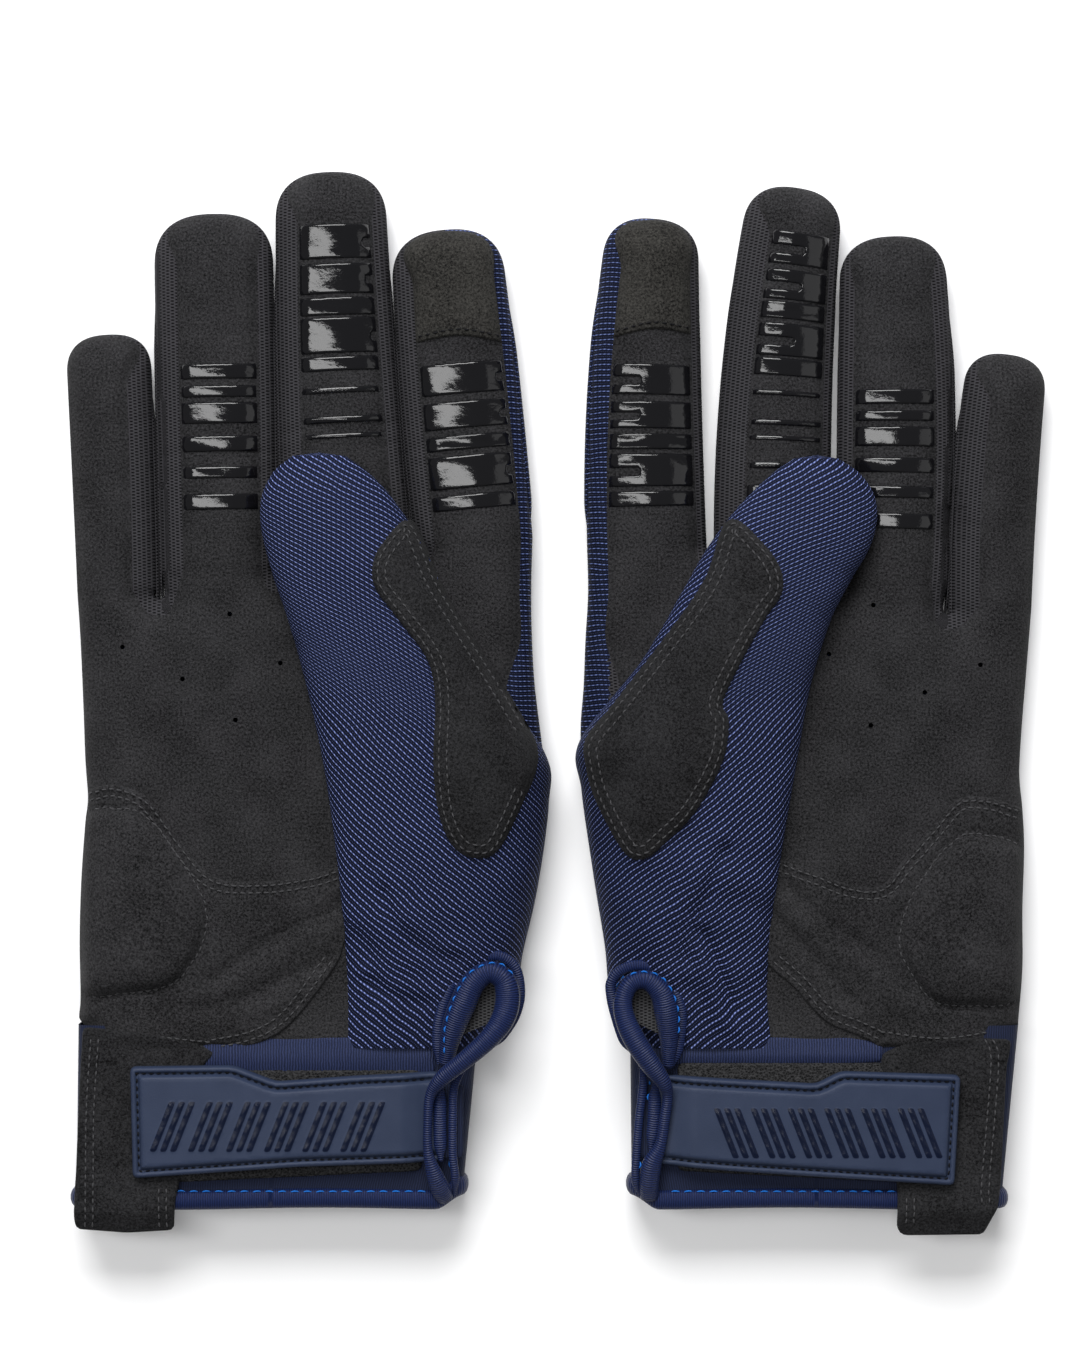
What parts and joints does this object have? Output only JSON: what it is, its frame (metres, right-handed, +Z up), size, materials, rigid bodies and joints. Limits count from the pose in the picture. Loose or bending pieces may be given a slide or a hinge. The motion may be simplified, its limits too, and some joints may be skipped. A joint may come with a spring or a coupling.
{
  "type": "pair of full-finger riding gloves",
  "caption": "Pair of thin full-finger gloves, palm up: suede palm, ribbed knit back and thumb, moulded hook-and-loop wrist strap.",
  "frame": {"origin": "on the surface that the gloves lie on, under the middle of the pair's bounding box", "axes": "+Z up, out of the palms; +Y along the fingers; the right-hand glove at -X and the left-hand glove at +X, thumbs towards each other"},
  "size_m": [0.2205, 0.2398, 0.0287],
  "materials": {
    "navy_knit": "ribbed stretch knit, bright blue yarn over dark navy",
    "black_suede": "brushed synthetic suede, matt",
    "black_mesh": "open mesh knit",
    "navy_neoprene": "neoprene faced with fine ribbed lycra",
    "navy_binding": "satin lycra tape, bright blue thread",
    "navy_rubber": "matt moulded rubber",
    "black_hook_loop": "hook and loop pile",
    "grey_foam": "foam under the heel overlay"
  },
  "bodies": {
    "right_index_mid": {"right_index_mid_back": "navy_knit", "right_index_mid_palm_face": "black_suede"},
    "right_index_tip": {"right_index_tip": "black_suede", "right_index_tip_overlay": "black_suede"},
    "right_middle_mid": {"right_middle_mid_back": "navy_knit", "right_middle_mid_palm_face": "black_suede"},
    "right_middle_tip": {"right_middle_tip": "black_suede"},
    "right_ring_mid": {"right_ring_mid_back": "navy_knit", "right_ring_mid_palm_face": "black_suede"},
    "right_ring_tip": {"right_ring_tip": "black_suede"},
    "right_little_mid": {"right_little_mid_back": "navy_knit", "right_little_mid_palm_face": "black_suede"},
    "right_little_tip": {"right_little_tip": "black_suede"},
    "right_thumb": {"right_thumb_back": "navy_knit", "right_thumb_suede": "black_suede"},
    "right_strap": {"right_strap_tab": "navy_rubber", "right_hook_patch": "black_hook_loop"},
    "right_hand": {"right_back_panel": "navy_knit", "right_cuff_band": "navy_neoprene", "right_cuff_binding": "navy_binding", "right_fourchette_index_middle": "black_mesh", "right_fourchette_middle_ring": "black_mesh", "right_fourchette_ring_little": "black_mesh", "right_heel_foam": "grey_foam", "right_heel_overlay": "black_suede", "right_loop_patch": "black_hook_loop", "right_palm_panel": "black_suede", "right_pull_tab": "black_suede", "right_strap_anchor": "navy_neoprene", "right_thumb_patch": "black_suede"},
    "left_index_mid": {"left_index_mid_back": "navy_knit", "left_index_mid_palm_face": "black_suede"},
    "left_index_tip": {"left_index_tip": "black_suede", "left_index_tip_overlay": "black_suede"},
    "left_middle_mid": {"left_middle_mid_back": "navy_knit", "left_middle_mid_palm_face": "black_suede"},
    "left_middle_tip": {"left_middle_tip": "black_suede"},
    "left_ring_mid": {"left_ring_mid_back": "navy_knit", "left_ring_mid_palm_face": "black_suede"},
    "left_ring_tip": {"left_ring_tip": "black_suede"},
    "left_little_mid": {"left_little_mid_back": "navy_knit", "left_little_mid_palm_face": "black_suede"},
    "left_little_tip": {"left_little_tip": "black_suede"},
    "left_thumb": {"left_thumb_back": "navy_knit", "left_thumb_suede": "black_suede"},
    "left_strap": {"left_strap_tab": "navy_rubber", "left_hook_patch": "black_hook_loop"},
    "left_hand": {"left_back_panel": "navy_knit", "left_cuff_band": "navy_neoprene", "left_cuff_binding": "navy_binding", "left_fourchette_index_middle": "black_mesh", "left_fourchette_middle_ring": "black_mesh", "left_fourchette_ring_little": "black_mesh", "left_heel_foam": "grey_foam", "left_heel_overlay": "black_suede", "left_loop_patch": "black_hook_loop", "left_palm_panel": "black_suede", "left_pull_tab": "black_suede", "left_strap_anchor": "navy_neoprene", "left_thumb_patch": "black_suede"}
  },
  "joints": [
    {"name": "right_index_knuckle", "type": "hinge", "parent": "right_hand", "child": "right_index_mid", "pos_m": [-0.02064, 0.05879, 0.014], "axis": [0.9955, 0.0949, 0], "range_deg": [0, 90]},
    {"name": "right_index_tip_knuckle", "type": "hinge", "parent": "right_index_mid", "child": "right_index_tip", "pos_m": [-0.0226, 0.07979, 0.014], "axis": [0.9959, 0.0902, 0], "range_deg": [0, 61]},
    {"name": "right_middle_knuckle", "type": "hinge", "parent": "right_hand", "child": "right_middle_mid", "pos_m": [-0.04875, 0.06191, 0.014], "axis": [0.9985, 0.0542, 0], "range_deg": [0, 80]},
    {"name": "right_middle_tip_knuckle", "type": "hinge", "parent": "right_middle_mid", "child": "right_middle_tip", "pos_m": [-0.05011, 0.09065, 0.014], "axis": [0.9992, 0.0403, 0], "range_deg": [0, 54]},
    {"name": "right_ring_knuckle", "type": "hinge", "parent": "right_hand", "child": "right_ring_mid", "pos_m": [-0.07655, 0.05603, 0.014], "axis": [0.9998, 0.0174, 0], "range_deg": [0, 80]},
    {"name": "right_ring_tip_knuckle", "type": "hinge", "parent": "right_ring_mid", "child": "right_ring_tip", "pos_m": [-0.07705, 0.08312, 0.014], "axis": [0.9998, 0.0191, 0], "range_deg": [0, 54]},
    {"name": "right_little_knuckle", "type": "hinge", "parent": "right_hand", "child": "right_little_mid", "pos_m": [-0.09971, 0.04348, 0.014], "axis": [0.9994, 0.0358, 0], "range_deg": [0, 90]},
    {"name": "right_little_tip_knuckle", "type": "hinge", "parent": "right_little_mid", "child": "right_little_tip", "pos_m": [-0.1005, 0.06315, 0.014], "axis": [0.999, 0.0444, 0], "range_deg": [0, 61]},
    {"name": "right_thumb_lift", "type": "hinge", "parent": "right_hand", "child": "right_thumb", "pos_m": [-0.0308, 0.0016, 0.0288], "axis": [0.9601, -0.2796, 0], "range_deg": [0, 75]},
    {"name": "right_strap_open", "type": "hinge", "parent": "right_hand", "child": "right_strap", "pos_m": [-0.0297, -0.093, 0.0193], "axis": [0, 1, 0], "range_deg": [0, 100]},
    {"name": "left_index_knuckle", "type": "hinge", "parent": "left_hand", "child": "left_index_mid", "pos_m": [0.02037, 0.05948, 0.014], "axis": [1, -0.001, 0], "range_deg": [0, 90]},
    {"name": "left_index_tip_knuckle", "type": "hinge", "parent": "left_index_mid", "child": "left_index_tip", "pos_m": [0.02074, 0.0812, 0.014], "axis": [0.9994, -0.0334, 0], "range_deg": [0, 61]},
    {"name": "left_middle_knuckle", "type": "hinge", "parent": "left_hand", "child": "left_middle_mid", "pos_m": [0.04967, 0.06072, 0.014], "axis": [0.9993, -0.0374, 0], "range_deg": [0, 80]},
    {"name": "left_middle_tip_knuckle", "type": "hinge", "parent": "left_middle_mid", "child": "left_middle_tip", "pos_m": [0.05146, 0.08828, 0.014], "axis": [0.9958, -0.0921, 0], "range_deg": [0, 54]},
    {"name": "left_ring_knuckle", "type": "hinge", "parent": "left_hand", "child": "left_ring_mid", "pos_m": [0.07712, 0.05231, 0.014], "axis": [0.9999, -0.0132, 0], "range_deg": [0, 80]},
    {"name": "left_ring_tip_knuckle", "type": "hinge", "parent": "left_ring_mid", "child": "left_ring_tip", "pos_m": [0.0771, 0.07868, 0.014], "axis": [0.9999, 0.0149, 0], "range_deg": [0, 54]},
    {"name": "left_little_knuckle", "type": "hinge", "parent": "left_hand", "child": "left_little_mid", "pos_m": [0.09932, 0.03976, 0.014], "axis": [0.9989, -0.0475, 0], "range_deg": [0, 90]},
    {"name": "left_little_tip_knuckle", "type": "hinge", "parent": "left_little_mid", "child": "left_little_tip", "pos_m": [0.10063, 0.05906, 0.014], "axis": [0.9962, -0.0876, 0], "range_deg": [0, 61]},
    {"name": "left_thumb_lift", "type": "hinge", "parent": "left_hand", "child": "left_thumb", "pos_m": [0.03315, 0.00395, 0.0288], "axis": [0.9824, 0.1866, 0], "range_deg": [0, 75]},
    {"name": "left_strap_open", "type": "hinge", "parent": "left_hand", "child": "left_strap", "pos_m": [0.0271, -0.093, 0.0193], "axis": [0, -1, 0], "range_deg": [0, 100]},
    {"name": "left_glove_lift", "type": "slide", "parent": "right_hand", "child": "left_hand", "axis": [0, 0, 1], "range_m": [0, 0.1]}
  ],
  "couplings": [
    {"joint": "right_index_tip_knuckle", "follows": "right_index_knuckle", "ratio": 0.6667},
    {"joint": "right_middle_tip_knuckle", "follows": "right_middle_knuckle", "ratio": 0.6667},
    {"joint": "right_ring_tip_knuckle", "follows": "right_ring_knuckle", "ratio": 0.6667},
    {"joint": "right_little_tip_knuckle", "follows": "right_little_knuckle", "ratio": 0.6667},
    {"joint": "left_index_tip_knuckle", "follows": "left_index_knuckle", "ratio": 0.6667},
    {"joint": "left_middle_tip_knuckle", "follows": "left_middle_knuckle", "ratio": 0.6667},
    {"joint": "left_ring_tip_knuckle", "follows": "left_ring_knuckle", "ratio": 0.6667},
    {"joint": "left_little_tip_knuckle", "follows": "left_little_knuckle", "ratio": 0.6667}
  ]
}
